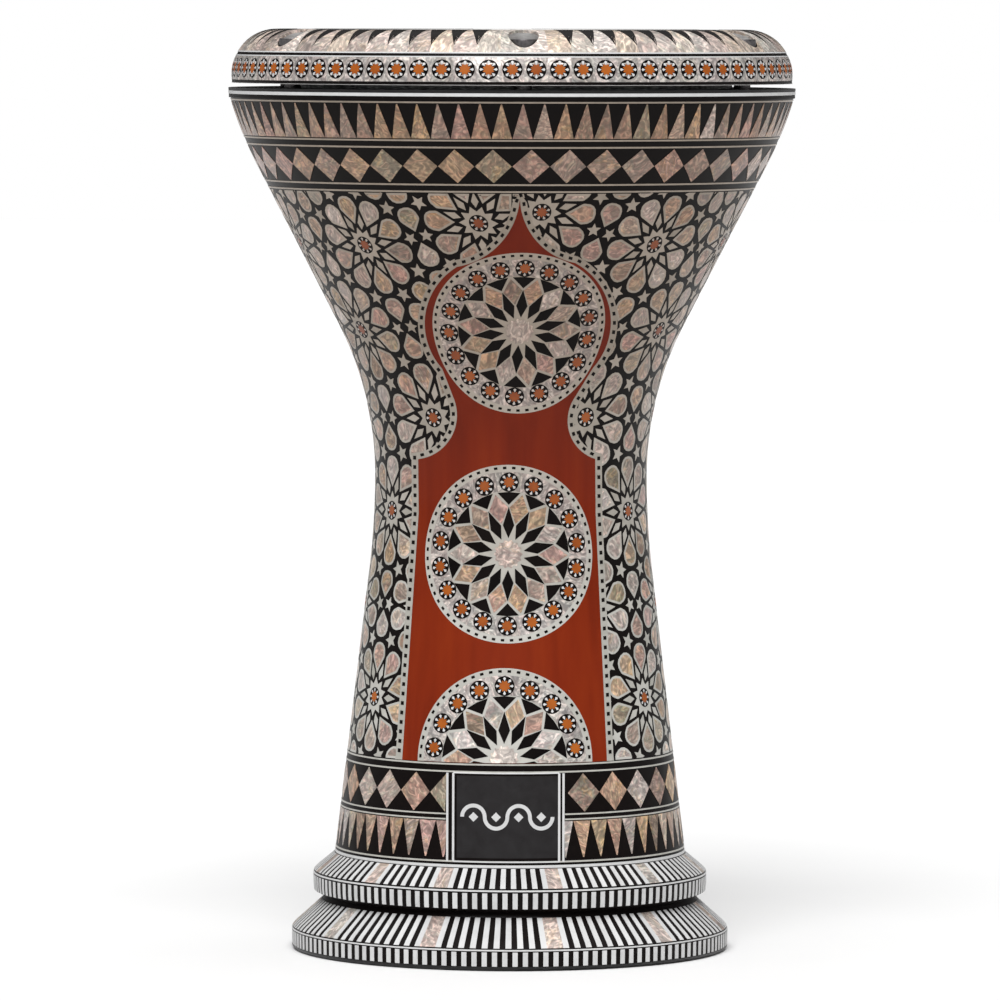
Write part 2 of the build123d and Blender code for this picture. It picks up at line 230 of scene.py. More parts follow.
# ---- flat outlines
def divided(outline, step=3.0):
    """The outline with every side divided into lengths of at most step."""
    outline = np.asarray(outline, float)
    points = []
    for start, end in zip(outline, np.roll(outline, -1, axis=0)):
        count = max(1, int(np.ceil(np.linalg.norm(end - start) / step)))
        points += [start + (end - start) * part / count for part in range(count)]
    return np.array(points)


def polar(radius, angle):
    return np.array([radius * cos(angle), radius * sin(angle)])


def box(left, right, low, high):
    """A rectangle's four corners, counter-clockwise."""
    return [(left, low), (right, low), (right, high), (left, high)]


def turned(outline, angle, centre):
    """The outline turned by an angle, then moved to a centre."""
    spin = np.array([[cos(angle), sin(angle)], [-sin(angle), cos(angle)]])
    return np.asarray(outline, float) @ spin + np.asarray(centre, float)


def circle(radius, count):
    return [polar(radius, FULL_TURN * part / count) for part in range(count)]


def star(points, outer, inner, first=0.0):
    step = pi / points
    return [polar(outer if part % 2 == 0 else inner, first + part * step) for part in range(2 * points)]


def kite(start, middle, half_width, end):
    """A kite along +X from start to end, widest at middle."""
    return [(start, 0), (middle, -half_width), (end, 0), (middle, half_width)]


def teardrop(tip, middle, back, length, half_width, fullness=0.84, count=5):
    """A drop along +X, widest at middle: straight sides from the tip, then a full, rather square end."""
    first = -asin(back / (middle - tip))
    side = [(middle + back * sin(t), half_width * cos(t)) for t in np.linspace(first, 0, 3)[:-1]]
    side += [(middle + length * sin(t)**fullness, half_width * cos(t)**fullness)
             for t in np.linspace(0, pi / 2 - 1e-9, count)]
    return [(tip, 0)] + [(x, -y) for x, y in side] + [(x, y) for x, y in side[-2::-1]]


def arc_through(start, middle, end, step=2.0):
    """Points on the arc through three points, without the last one."""
    a, b, c = (complex(*p) for p in (start, middle, end))
    w = (c - a) / (b - a)
    centre = a + (b - a) * (w - abs(w) ** 2) / (2j * w.imag)
    radius = abs(a - centre)
    total = np.angle((c - centre) / (a - centre))
    passed = np.angle((b - centre) / (a - centre))
    if total * passed < 0:
        total -= FULL_TURN * np.sign(total)
    count = max(2, int(np.ceil(abs(total) * radius / step)))
    spots = [centre + (a - centre) * np.exp(1j * total * part / count) for part in range(count)]
    return [(spot.real, spot.imag) for spot in spots]


def area(outline):
    x, y = np.asarray(outline, float).T
    return float(np.sum(x * np.roll(y, -1) - y * np.roll(x, -1)) / 2)


def inset(outline, amount):
    """A counter-clockwise outline moved inwards by amount."""
    outline = np.asarray(outline, float)
    ahead = np.roll(outline, -1, axis=0) - outline
    ahead /= np.maximum(np.linalg.norm(ahead, axis=1), 1e-9)[:, None]
    back = np.roll(ahead, 1, axis=0)
    normal = np.column_stack([-(ahead + back)[:, 1], (ahead + back)[:, 0]])
    sharpest = 0.35
    length = np.maximum(np.linalg.norm(normal, axis=1), sharpest)
    return outline + normal / length[:, None] ** 2 * 2 * amount


def clipped(outline, axis, limit, above):
    """The part of an outline on one side of a limit on one of its coordinates."""
    sign = 1 if above else -1
    kept = []
    for start, end in zip(outline, np.roll(outline, -1, axis=0)):
        start_in = sign * (start[axis] - limit) >= 0
        end_in = sign * (end[axis] - limit) >= 0
        if start_in:
            kept.append(start)
        if start_in != end_in:
            share = (limit - start[axis]) / (end[axis] - start[axis])
            kept.append(start + (end - start) * share)
    return np.array(kept)


def inside(points, outline):
    """Which points lie inside an outline."""
    points = np.asarray(points, float)
    result = np.zeros(len(points), bool)
    for (x0, y0), (x1, y1) in zip(outline, np.roll(outline, -1, axis=0)):
        crosses = (y0 > points[:, 1]) != (y1 > points[:, 1])
        where = x0 + (points[:, 1] - y0) * (x1 - x0) / (y1 - y0 if y1 != y0 else 1e-9)
        result ^= crosses & (points[:, 0] < where)
    return result


# ---- building one piece of inlay
HOOP_SEGMENTS = 288
FACE_SIZE = 3.0
TILE_FACE_SIZE = 3.5
SMALLEST_TILE_AREA = 0.25


def quads(rows, width, rows_close, width_closes):
    """The faces of a grid of points numbered row by row. Either direction can close on itself."""
    faces = []
    for row in range(rows if rows_close else rows - 1):
        for place in range(width if width_closes else width - 1):
            here, right = row * width, (place + 1) % width
            there = (row + 1) % rows * width
            faces.append((here + place, here + right, there + right, there + place))
    return faces


def tube(rows, width, closed):
    """The faces of a tube with rows of points along it, and flat ends unless it closes on itself."""
    faces = quads(rows, width, True, closed)
    if not closed:
        faces.append(tuple(row * width for row in range(rows)))
        faces.append(tuple(row * width + width - 1 for row in reversed(range(rows))))
    return faces


class Mosaic:
    """A piece of inlay that collects grounds and tiles on one profile, then becomes one mesh."""

    def __init__(self, name, profile, body="goblet"):
        self.name = name
        self.profile = profile
        self.body = body
        self.points = []
        self.faces = []
        self.looks = []
        self.limits = []

    def clip(self, axis, limit, above):
        """From now on tiles are cut at a limit: axis 0 is the turn and 1 the distance along."""
        self.limits.append((axis, limit, above))

    def add(self, points, faces, paint, tone=0.5, spin=0.0):
        """Adds one item. A list of paints gives each face its own."""
        count = len(self.points)
        self.points += np.vstack(points).tolist()
        self.faces += [tuple(corner + count for corner in face) for face in faces]
        paints = [paint] * len(faces) if isinstance(paint, str) else paint
        self.looks += [(each, tone, spin) for each in paints]

    def hoop(self, low, high, level, paint, floor=FLOOR, first=0.0, last=FULL_TURN):
        """A closed band round the drum, or part of the way round, between two distances along."""
        closed = last - first > FULL_TURN - 1e-6
        segments = max(2, int(HOOP_SEGMENTS * (last - first) / FULL_TURN))
        turns = np.linspace(first, last, segments + 1)
        if closed:
            turns = turns[:-1]
        lines = np.linspace(low, high, max(1, int(np.ceil((high - low) / FACE_SIZE))) + 1)
        section = [(along, level) for along in lines] + [(along, floor) for along in lines[::-1]]
        points = [self.profile.place([(turn, along) for turn in turns], height) for along, height in section]
        self.add(points, tube(len(section), len(turns), closed), paint)

    def tile(self, spots, paint, level, rim=0.0, floor=TILE_FLOOR):
        """A flat-topped tile from its outline of (turn, along) spots, with an optional cream rim."""
        spots = np.asarray(spots, float)
        for axis, limit, above in self.limits:
            if len(spots) >= 3:
                spots = clipped(spots, axis, limit, above)
        if len(spots) < 3:
            return
        middle = spots.mean(axis=0)
        scale = np.array([float(self.profile.radius(middle[1])), 1.0])
        flat = (spots - middle) * scale
        if area(flat) < 0:
            flat = flat[::-1]
        if area(flat) < SMALLEST_TILE_AREA:
            return
        flat = divided(flat)
        centre = flat.mean(axis=0)
        size = len(flat)
        loops = [(flat, floor), (flat, level)]
        paints = ["cream" if rim else paint]
        top = flat
        if rim:
            top = inset(flat, rim)
            loops.append((top, level))
            paints.append("cream")
        reach = np.linalg.norm(top - centre, axis=1).max()
        rings = max(1, round(float(reach) / TILE_FACE_SIZE))
        for ring in range(rings - 1, 0, -1):
            loops.append((centre + (top - centre) * ring / rings, level))
            paints.append(paint)
            loops.insert(0, (centre + (flat - centre) * ring / rings, floor))
            paints.insert(0, paints[0])
        points = [self.profile.place(middle + loop / scale, height) for loop, height in loops]
        points += [self.profile.place([middle + centre / scale], height) for height in (level, floor)]
        faces = quads(len(loops), size, False, True)
        face_paints = [each for each in paints for _ in range(size)]
        last, hub = (len(loops) - 1) * size, len(loops) * size
        for here in range(size):
            there = (here + 1) % size
            faces += [(last + here, last + there, hub), (there, here, hub + 1)]
            face_paints += [paint, paints[0]]
        self.add(points, faces, face_paints, chance.random(), chance.random())

    def ribbon(self, spots, width, paint, level):
        """A strip of constant width along a line of (turn, along) spots."""
        spots = np.asarray(spots, float)
        scale = np.column_stack([self.profile.radius(spots[:, 1]), np.ones(len(spots))])
        ahead = np.gradient(spots, axis=0) * scale
        ahead /= np.linalg.norm(ahead, axis=1)[:, None]
        side = np.column_stack([-ahead[:, 1], ahead[:, 0]]) * width / 2 / scale
        edges = [(spots - side, TILE_FLOOR), (spots - side, level), (spots + side, level),
                 (spots + side, TILE_FLOOR)]
        points = [self.profile.place(edge, height) for edge, height in edges]
        self.add(points, tube(4, len(spots), False), paint, chance.random(), chance.random())

    def plate(self, outline, paint, level, floor=TILE_FLOOR):
        """A large plate from an outline seen from the front, filled with a grid of points."""
        outline = np.asarray(outline, float)
        if area(outline) < 0:
            outline = outline[::-1]
        across, up = (np.arange(low + FACE_SIZE / 2, high, FACE_SIZE)
                      for low, high in zip(outline.min(axis=0), outline.max(axis=0)))
        grid = np.array([(x, y) for x in across for y in up])
        grid = grid[inside(grid, inset(outline, FACE_SIZE * 0.4))]
        flat = [tuple(point) for point in np.vstack([outline, grid])]
        edges = [(here, (here + 1) % len(outline)) for here in range(len(outline))]
        corners, _, triangles, *_ = delaunay_2d_cdt(flat, edges, [], 1, 1e-5)
        triangles = [tuple(f if area([corners[i] for i in f]) > 0 else f[::-1]) for f in triangles]
        spots = self.profile.from_front([tuple(corner) for corner in corners])
        count = len(spots)
        faces = triangles + [tuple(i + count for i in f[::-1]) for f in triangles]
        border = {(face[here], face[(here + 1) % 3]) for face in triangles for here in range(3)}
        for a, b in sorted(border):
            if (b, a) not in border:
                faces.append((a, a + count, b + count, b))
        points = [self.profile.place(spots, level), self.profile.place(spots, floor)]
        self.add(points, faces, paint, chance.random(), chance.random())

    def finish(self, node=None, slot=None):
        """Makes the mesh object. Each face keeps its tile's two random numbers as attributes."""
        mesh = bpy.data.meshes.new(self.name)
        mesh.from_pydata(self.points, [], self.faces)
        paints, tones, spins = zip(*self.looks)
        names = sorted(set(paints))
        for name in names:
            mesh.materials.append(PAINTS[name])
        mesh.polygons.foreach_set("material_index", [names.index(paint) for paint in paints])
        for label, values in (("tone", tones), ("spin", spins)):
            attribute = mesh.attributes.new(label, "FLOAT", "FACE")
            attribute.data.foreach_set("value", values)
        mesh.validate()
        mesh.shade_smooth()
        mesh.set_sharp_from_angle(angle=radians(40))
        piece = bpy.data.objects.new(self.name, mesh)
        bpy.context.scene.collection.objects.link(piece)
        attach(piece, self.body)
        if node:
            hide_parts(node)


# ---- materials
class Tree:
    """A node tree under construction."""

    def __init__(self, tree):
        self.tree = tree
        self.nodes = tree.nodes

    def link(self, source, target):
        self.tree.links.new(source, target)

    def node(self, kind, inputs=None, **settings):
        """A node with its settings, and its inputs linked or set to values."""
        node = self.nodes.new(kind)
        for name, value in settings.items():
            setattr(node, name, value)
        for name, value in (inputs or {}).items():
            if isinstance(value, bpy.types.NodeSocket):
                self.link(value, node.inputs[name])
            else:
                node.inputs[name].default_value = value
        return node

    def place(self):
        return self.node("ShaderNodeTexCoord").outputs["Object"]

    def parts(self, vector):
        """The vector's three coordinates."""
        return self.node("ShaderNodeSeparateXYZ", {"Vector": vector}).outputs

    def math(self, operation, *values):
        return self.node("ShaderNodeMath", dict(enumerate(values)), operation=operation).outputs["Value"]

    def vector_math(self, operation, inputs):
        node = self.node("ShaderNodeVectorMath", inputs, operation=operation)
        return node.outputs["Value" if operation == "LENGTH" else "Vector"]

    def scaled(self, vector, scale):
        return self.node("ShaderNodeMapping", {"Vector": vector, "Scale": scale}).outputs["Vector"]

    def noise(self, vector, scale, detail=3.0, distortion=0.0):
        inputs = {"Vector": vector, "Scale": scale, "Detail": detail, "Distortion": distortion}
        return self.node("ShaderNodeTexNoise", inputs).outputs["Fac"]

    def scatter(self, number):
        """White noise, with the same value and colour for the same number."""
        return self.node("ShaderNodeTexWhiteNoise", {"W": number}, noise_dimensions="1D").outputs

    def ramp(self, factor, stops):
        node = self.node("ShaderNodeValToRGB", {"Fac": factor})
        elements = node.color_ramp.elements
        while len(elements) < len(stops):
            elements.new(0.5)
        for element, (position, colour) in zip(elements, stops):
            element.position = position
            element.color = (*colour, 1)
        return node.outputs["Color"]

    def mix(self, factor, first, second, blend="MIX"):
        first, second = ((*c, 1) if isinstance(c, tuple) else c for c in (first, second))
        inputs = {"Factor": factor, 6: first, 7: second}
        return self.node("ShaderNodeMix", inputs, data_type="RGBA", blend_type=blend).outputs[2]


class Paint(Tree):
    """A material under construction."""

    def __init__(self, name, **sockets):
        self.material = bpy.data.materials.new(name)
        self.material.use_nodes = True
        super().__init__(self.material.node_tree)
        self.shader = self.nodes["Principled BSDF"]
        for socket, value in sockets.items():
            self.shader.inputs[socket.replace("_", " ")].default_value = value

    def feed(self, socket, source):
        self.link(source, self.shader.inputs[socket])

    def tone(self):
        """The random number of the tile that the face belongs to."""
        return self.node("ShaderNodeAttribute", attribute_name="tone").outputs["Fac"]

    def bump(self, height, strength, distance, **inputs):
        inputs = {"Height": height, "Strength": strength, "Distance": distance, **inputs}
        self.feed("Normal", self.node("ShaderNodeBump", inputs).outputs["Normal"])


def linear(*colour):
    """A colour given in the 0 to 255 steps of a screen, for the shader."""
    return tuple((c / 255 / 12.92) if c < 11 else ((c / 255 + 0.055) / 1.055) ** 2.4 for c in colour)


def stops(*rows):
    """The stops of a ramp from (position, red, green, blue), each colour in the steps of a screen."""
    return [(position, linear(*colour)) for position, *colour in rows]


def painted_cone_shade(paint, colour, cast=(0.64, 0.54, 0.47)):
    """Painted shade: the colour darkens and browns from 160 mm up, fully from 300 mm over the upper cone,
    which faces down; the lip, the ring and the lower half are clear.
    """
    height = paint.parts(paint.place())["Z"]
    rise = paint.node("ShaderNodeMapRange", {"Value": height, "From Min": 0.16, "From Max": 0.3})
    below_lip = paint.math("LESS_THAN", height, 0.4139)
    share = paint.math("MULTIPLY", rise.outputs["Result"], below_lip)
    return paint.mix(1.0, colour, paint.mix(share, (1.0, 1.0, 1.0), cast), "MULTIPLY")


def pearl_paint(name, tints, blushes, blush_share, tone_source=Paint.tone):
    """Mother of pearl: every tile has its own tint, grain and lean, under clear lacquer."""
    paint = Paint(name, Roughness=0.38, Metallic=0.25, Coat_Weight=0.2, Coat_Roughness=0.08)
    tone = tone_source(paint)
    scatter = paint.scatter(tone)["Color"]
    spin = paint.vector_math("SCALE", {0: scatter, "Scale": 6.0})
    spun = paint.node("ShaderNodeVectorRotate", {"Vector": paint.place(), "Rotation": spin},
                      rotation_type="EULER_XYZ").outputs["Vector"]
    stretched = paint.scaled(spun, (1.0, 2.2, 1.4))
    grain = paint.noise(stretched, 190.0, 4.0, 1.4)
    cloud = paint.noise(stretched, 95.0, 2.0, 0.8)
    light = paint.ramp(grain, [(0.34, (0.46, 0.46, 0.47)), (0.5, (0.76, 0.76, 0.76)),
                               (0.67, (1.5, 1.48, 1.46))])
    tinted = paint.mix(blush_share, paint.ramp(tone, tints), paint.ramp(cloud, blushes))
    shaded = paint.mix(1.0, tinted, light, "MULTIPLY")
    # The upper cone gets painted shade, a little less brown on the pearl
    paint.feed("Base Color", painted_cone_shade(paint, shaded, (0.63, 0.55, 0.50)))
    lean = paint.vector_math("ADD", {0: scatter, 1: (-0.5, -0.5, -0.5)})
    lean = paint.vector_math("SCALE", {0: lean, "Scale": 0.35})
    normal = paint.node("ShaderNodeNewGeometry").outputs["Normal"]
    leaning = paint.vector_math("NORMALIZE", {0: paint.vector_math("ADD", {0: normal, 1: lean})})
    paint.bump(grain, 0.4, 0.0006, Normal=leaning)
    return paint.material


def plain_inlay_paint(name, dark, light, grain=220.0, specular=0.3):
    """A cut strip or cast filling: one colour with fine grain, under clear lacquer."""
    paint = Paint(name, Roughness=0.42, Specular_IOR_Level=specular, Coat_Weight=specular / 2,
                  Coat_Roughness=0.08)
    noise = paint.noise(paint.place(), grain, 4.0, 0.4)
    share = paint.math("MULTIPLY_ADD", paint.tone(), 0.45, paint.math("MULTIPLY", noise, 0.75))
    # The upper cone gets painted shade
    paint.feed("Base Color", painted_cone_shade(paint, paint.ramp(share, stops((0.25, *dark), (0.8, *light)))))
    paint.bump(noise, 0.12, 0.0003)
    return paint.material


def red_paint():
    """Brick red lacquer with fine upright streaks."""
    paint = Paint("red_panel", Roughness=0.45, Specular_IOR_Level=0.1, Coat_Weight=0.06,
                  Coat_Roughness=0.08)
    streak = paint.noise(paint.scaled(paint.place(), (1.0, 1.0, 0.05)), 130.0, 3.0, 0.2)
    mottle = paint.noise(paint.place(), 30.0, 2.0, 0.3)
    base = paint.ramp(streak, stops((0.3, 110, 33, 6), (0.5, 122, 38, 8), (0.75, 130, 44, 10)))
    base = paint.mix(paint.math("MULTIPLY", mottle, 0.4), base, linear(112, 30, 14))
    # The upper cone gets painted shade
    paint.feed("Base Color", painted_cone_shade(paint, base))
    paint.bump(streak, 0.05, 0.0003)
    return paint.material


def metal_paint(name, dark, light, roughness, scale, stretch=(1, 1, 1), strength=0.1, metallic=1.0):
    """A metal with brushed or cast grain."""
    paint = Paint(name, Metallic=metallic, Roughness=roughness)
    grain = paint.noise(paint.scaled(paint.place(), stretch), scale, 4.0, 0.3)
    paint.feed("Base Color", paint.ramp(grain, stops((0.3, *dark), (0.7, *light))))
    limits = {"Value": grain, "To Min": roughness * 0.8, "To Max": roughness * 1.3}
    paint.feed("Roughness", paint.node("ShaderNodeMapRange", limits).outputs["Result"])
    paint.bump(grain, strength, 0.0004)
    return paint.material


def shell_paint():
    """Bare cast metal inside, black lacquer on the lip and under the foot's edge."""
    paint = Paint("cast_shell", Roughness=0.45, Specular_IOR_Level=0.3, Coat_Weight=0.1,
                  Coat_Roughness=0.1)
    place = paint.place()
    x, y, z = paint.parts(place)
    flat = paint.node("ShaderNodeCombineXYZ", {"X": x, "Y": y}).outputs["Vector"]
    high = paint.math("GREATER_THAN", z, 0.4134)
    wide = paint.math("GREATER_THAN", paint.vector_math("LENGTH", {0: flat}), 0.1345)
    low = paint.math("LESS_THAN", z, 0.0024)
    lacquered = paint.math("MAXIMUM", paint.math("MULTIPLY", high, wide), low)
    grain = paint.noise(place, 260.0, 5.0, 0.2)
    cast = paint.ramp(grain, stops((0.3, 132, 132, 134), (0.7, 186, 186, 188)))
    lacquer = paint.ramp(grain, stops((0.3, 12, 11, 12), (0.7, 24, 22, 23)))
    paint.feed("Base Color", paint.mix(lacquered, cast, lacquer))
    paint.feed("Metallic", paint.math("SUBTRACT", 1.0, lacquered))
    paint.bump(grain, 0.2, 0.0005)
    return paint.material


def film_paint():
    """The head: a milky, slightly translucent plastic film with a fine haze."""
    paint = Paint("head_film", Roughness=0.35, Transmission_Weight=0.25, IOR=1.45)
    haze = paint.noise(paint.place(), 90.0, 4.0, 0.4)
    paint.feed("Base Color", paint.ramp(haze, stops((0.3, 226, 226, 222), (0.7, 240, 240, 236))))
    paint.bump(haze, 0.05, 0.0002)
    return paint.material


def sector_tone(count, first):
    """A tone for each of count equal sectors round the axis, for a skin that is one CAD node."""
    def tone(paint):
        x, y, _ = paint.parts(paint.place())
        turn = paint.math("ARCTAN2", x, paint.math("MULTIPLY", y, -1.0))
        turn = paint.math("ADD", turn, FULL_TURN - first)
        sector = paint.math("FLOOR", paint.math("MULTIPLY", turn, count / FULL_TURN))
        return paint.scatter(sector)["Value"]
    return tone


pearl_tints = stops((0.0, 136, 120, 108), (0.14, 198, 160, 124), (0.28, 200, 160, 154),
                    (0.42, 160, 154, 128), (0.56, 206, 170, 128), (0.7, 206, 198, 194),
                    (0.85, 174, 152, 136), (1.0, 238, 232, 230))
pearl_blushes = stops((0.3, 138, 126, 112), (0.42, 166, 156, 144), (0.5, 190, 146, 134),
                      (0.58, 150, 160, 142), (0.66, 206, 164, 112), (0.76, 204, 192, 188))
pale_tints = stops((0.0, 176, 170, 166), (0.35, 192, 182, 176), (0.65, 180, 178, 170), (1.0, 204, 194, 188))
pale_blushes = stops((0.3, 172, 170, 170), (0.45, 196, 190, 186), (0.6, 202, 180, 176),
                     (0.75, 182, 188, 174))
bright_tints = stops((0.0, 190, 176, 168), (0.3, 214, 196, 188), (0.55, 198, 196, 190),
                     (0.8, 220, 200, 180), (1.0, 234, 226, 222))
PAINTS = {
    "pearl": pearl_paint("pearl_tiles", pearl_tints, pearl_blushes, 0.38),
    "pale_pearl": pearl_paint("pale_pearl_tiles", pale_tints, pale_blushes, 0.4),
    "shoulder_pearl": pearl_paint("shoulder_pearl", bright_tints, pearl_blushes, 0.3,
                                  sector_tone(SHOULDER_TRIANGLES, FIRST_BOLT_ANGLE)),
    "bright_pearl": pearl_paint("foot_pearl", bright_tints, pearl_blushes, 0.3),
    "cream": plain_inlay_paint("cream_strips", (160, 158, 150), (186, 184, 178)),
    "white": plain_inlay_paint("white_strips", (190, 190, 190), (206, 206, 206)),
    "black": plain_inlay_paint("black_filling", (8, 5, 5), (18, 13, 12), 300.0, 0.07),
    "orange": plain_inlay_paint("orange_centres", (134, 62, 12), (166, 88, 24)),
    "red": red_paint(),
    "plaque": plain_inlay_paint("dark_plaque", (34, 32, 33), (46, 45, 46), 160.0, 0.12),
    "shell": shell_paint(),
    "ring": metal_paint("turned_ring", (180, 178, 176), (214, 212, 210), 0.4, 240.0, (1, 1, 8),
                        metallic=0.5),
    "hoop": metal_paint("hoop_metal", (140, 140, 142), (180, 180, 184), 0.35, 200.0, (1, 1, 6)),
    "screw": metal_paint("blackened_steel", (84, 82, 84), (124, 120, 120), 0.4, 420.0, strength=0.25),
    "washer": metal_paint("washer_steel", (120, 120, 124), (160, 160, 164), 0.3, 380.0),
    "film": film_paint(),
}


# ---- pattern elements
def rosette(mosaic, sheet, centre, first, radius, level):
    """A small round rosette: an orange star on black, with eight white wedges at its edge."""
    def lay(outline, angle=0.0):
        return sheet.lay(turned(outline, first + angle, centre))

    mosaic.tile(lay(circle(radius, 20)), "black", level)
    wedge = kite(0.46 * radius, 0.78 * radius, 0.15 * radius, 0.9 * radius)
    for part in range(8):
        mosaic.tile(lay(wedge, part * pi / 4), "white", level + 0.05)
    mosaic.tile(lay(star(8, 0.6 * radius, 0.43 * radius, pi / 8)), "orange", level + 0.07)


def triangles(mosaic, count, base, apex, first=0.0, last=FULL_TURN):
    """A row of tall triangles, base to base, with slightly blunt tips."""
    pitch = (last - first) / count
    half, tip = pitch * 0.485, pitch * 0.485 * 0.06
    for place in range(count):
        middle = first + (place + 0.5) * pitch
        outline = [(middle - half, base), (middle + half, base), (middle + tip, apex), (middle - tip, apex)]
        mosaic.tile(outline, "pearl", ROW_TILE)


def diamonds(mosaic, count, low, high, first=0.0, last=FULL_TURN):
    """A row of diamonds that nearly touch at their sides."""
    pitch = (last - first) / count
    half, waist = pitch * 0.49, (low + high) / 2
    for place in range(count):
        middle = first + (place + 0.5) * pitch
        outline = [(middle - half, waist), (middle, low), (middle + half, waist), (middle, high)]
        mosaic.tile(outline, "pearl", ROW_TILE)


def lines(mosaic, low, high, shares, **gap):
    """Plain lines round the drum: (share of the row's height from, share to, paint) for each."""
    for start, end, paint in shares:
        bottom, top = low + (high - low) * start, low + (high - low) * end
        mosaic.hoop(bottom, top, ROW_TILE, paint, TILE_FLOOR, **gap)


def row(node, profile, body="goblet", name=None):
    """A new mosaic with its resin ground over a node's row, and the row's two distances along."""
    mosaic = Mosaic(f"{name or node}_mosaic", profile, body)
    low, high = map(profile.at_height, ROWS[node])
    mosaic.hoop(low, high, GROUND, "black")
    return mosaic, low, high


def stringing(node, profile, shares, body="goblet"):
    """A whole row of plain lines."""
    mosaic, low, high = row(node, profile, body)
    lines(mosaic, low, high, shares)
    mosaic.finish(node, "stringing")


# ---- rows of the barrel
def beside_frame(height):
    """The turns at which a row starts and ends, at the right and left edges of the name frame."""
    radius = barrel_radius(height)
    return asin(FRAME_RIGHT / radius), asin(FRAME_LEFT / radius) + FULL_TURN


def barrel_rows():
    margin = 0.3
    two_lines = [(0.06, 0.22, "cream"), (0.78, 0.94, "cream")]
    stringing("rim_stringing", lip, [(0.5, 0.94, "white")])
    for node in ("upper_stringing", "field_top_stringing", "field_base_stringing"):
        stringing(node, barrel, two_lines)

    mosaic, low, high = row("upper_triangle_band", barrel, name="upper_triangles")
    mosaic.hoop(high - 1.5, high - 0.7, ROW_TILE, "cream", TILE_FLOOR)
    triangles(mosaic, 84, low + margin, high - 2.0)
    mosaic.finish("upper_triangle_band", "pearl_inlay")

    mosaic, low, high = row("upper_diamond_band", barrel, name="upper_diamonds")
    diamonds(mosaic, 44, low + margin, high - margin)
    mosaic.finish("upper_diamond_band", "pearl_inlay")

    # Twenty-six diamonds and a half fill the row from a degree beside the frame round to its other edge
    first, last = beside_frame(83.0)
    first += radians(1.0)
    mosaic, low, high = row("lower_diamond_band", barrel, name="lower_diamonds")
    mosaic.clip(0, last, False)
    diamonds(mosaic, 27, low + margin, high - margin, first, first + 27 / 26.5 * (last - first))
    mosaic.finish("lower_diamond_band", "pearl_inlay")

    first, last = beside_frame(74.0)
    mosaic, low, high = row("lower_stringing", barrel, name="lower_strings")
    lines(mosaic, low, high, [(0.06, 0.26, "cream"), (0.74, 0.94, "cream")], first=first, last=last)
    mosaic.finish("lower_stringing", "stringing")

    # The frame cuts the first and the last of fifty-one triangles
    first, last = beside_frame(61.0)
    mosaic, low, high = row("lower_triangle_band", barrel, name="lower_triangles")
    mosaic.clip(0, first, True)
    mosaic.clip(0, last, False)
    pitch = (last - first) / 50.1
    triangles(mosaic, 51, high - margin, low + 0.5, first - pitch / 2, first + 50.5 * pitch)
    mosaic.finish("lower_triangle_band", "pearl_inlay")

    stringing("foot_stringing", barrel, [(0.04, 0.34, "white"), (0.6, 0.78, "cream")])


# ---- the foot's striped beads
def slope_bars(mosaic, low, high, first_tile):
    """Groups of black and white bars, with a tile of pearl before each. The last group is a short one."""
    groups = [9] * 10 + [6]
    tile_width = 2.8
    bar = FULL_TURN / sum(2 * black_bars + 1 + tile_width for black_bars in groups)
    left = first_tile - tile_width / 2 * bar
    for black_bars in groups:
        for place, width in enumerate([tile_width] + [1] * (2 * black_bars + 1)):
            right = left + width * bar
            if place == 0:
                mosaic.tile(box(left, right, low, high), "bright_pearl", ROW_TILE)
            elif place % 2 == 1:
                mosaic.tile(box(left, right, low, high), "white", ROW_TILE)
            left = right


def face_bars(mosaic, low, high, count):
    """White bars all the way round, with black between them."""
    pitch = FULL_TURN / count
    for place in range(count):
        left = (place + 0.25) * pitch
        mosaic.tile(box(left, left + pitch / 2, low, high), "white", ROW_TILE)


def foot_rows():
    stringing("upper_bead_edge_stringing", foot, [(0.3, 0.7, "white")])
    stringing("bead_valley_stringing", foot, [])
    stringing("lower_bead_edge_stringing", foot, [(0.25, 0.7, "white")])
    for node, bars, margin, detail in (("upper_bead_slope_inlay", slope_bars, 0.2, radians(-20.4)),
                                       ("lower_bead_slope_inlay", slope_bars, 0.2, radians(-122.5)),
                                       ("upper_bead_face_inlay", face_bars, 0.1, 124),
                                       ("lower_bead_face_inlay", face_bars, 0.1, 136)):
        mosaic, low, high = row(node, foot)
        bars(mosaic, low + margin, high - margin, detail)
        mosaic.finish(node, "pearl_inlay")


# ---- the ring
def ring_rows():
    stringing("ring_lower_stringing", ring_face, [], "ring")
    stringing("ring_upper_stringing", ring_face, [(0.0, 0.2, "white"), (0.76, 1.0, "white")], "ring")

    mosaic, low, high = row("ring_rosette_band", ring_face, "ring", "ring_rosettes")
    count = 76
    pitch = FULL_TURN / count
    for place in range(count):
        left = (place - 0.5) * pitch
        mosaic.tile(box(left, left + pitch, low + 0.05, high - 0.05), "pale_pearl", RING_TILE)
        sheet = Sheet(ring_face, place * pitch)
        rosette(mosaic, sheet, (0, (low + high) / 2), 0.0, 4.8, ROW_TILE)
    mosaic.finish("ring_rosette_band", "dotted_border")

    # The black triangles lie on the shoulder's own skin, and leave the screws clear
    top = ring_face.along[-1] - 0.6
    tip_height = 439.6
    tip = ring_face.at_height(tip_height)
    pitch = FULL_TURN / SHOULDER_TRIANGLES
    half = pitch * 0.49
    bolt_pitch = FULL_TURN / BOLT_COUNT
    mosaic = Mosaic("ring_shoulder_triangles", ring_face, "ring")
    for place in range(SHOULDER_TRIANGLES):
        middle = FIRST_BOLT_ANGLE + place * pitch
        from_bolt = abs((place * pitch + bolt_pitch / 2) % bolt_pitch - bolt_pitch / 2)
        if from_bolt * BOLT_CIRCLE > BOLT_CLEARANCE:
            mosaic.tile([(middle - half, top), (middle, tip), (middle + half, top)], "black", 0.1, floor=-0.1)
    mosaic.finish()


# ---- the arch, seen from the front
ARCH_CORNER = (46.3, FIELD_BOTTOM)


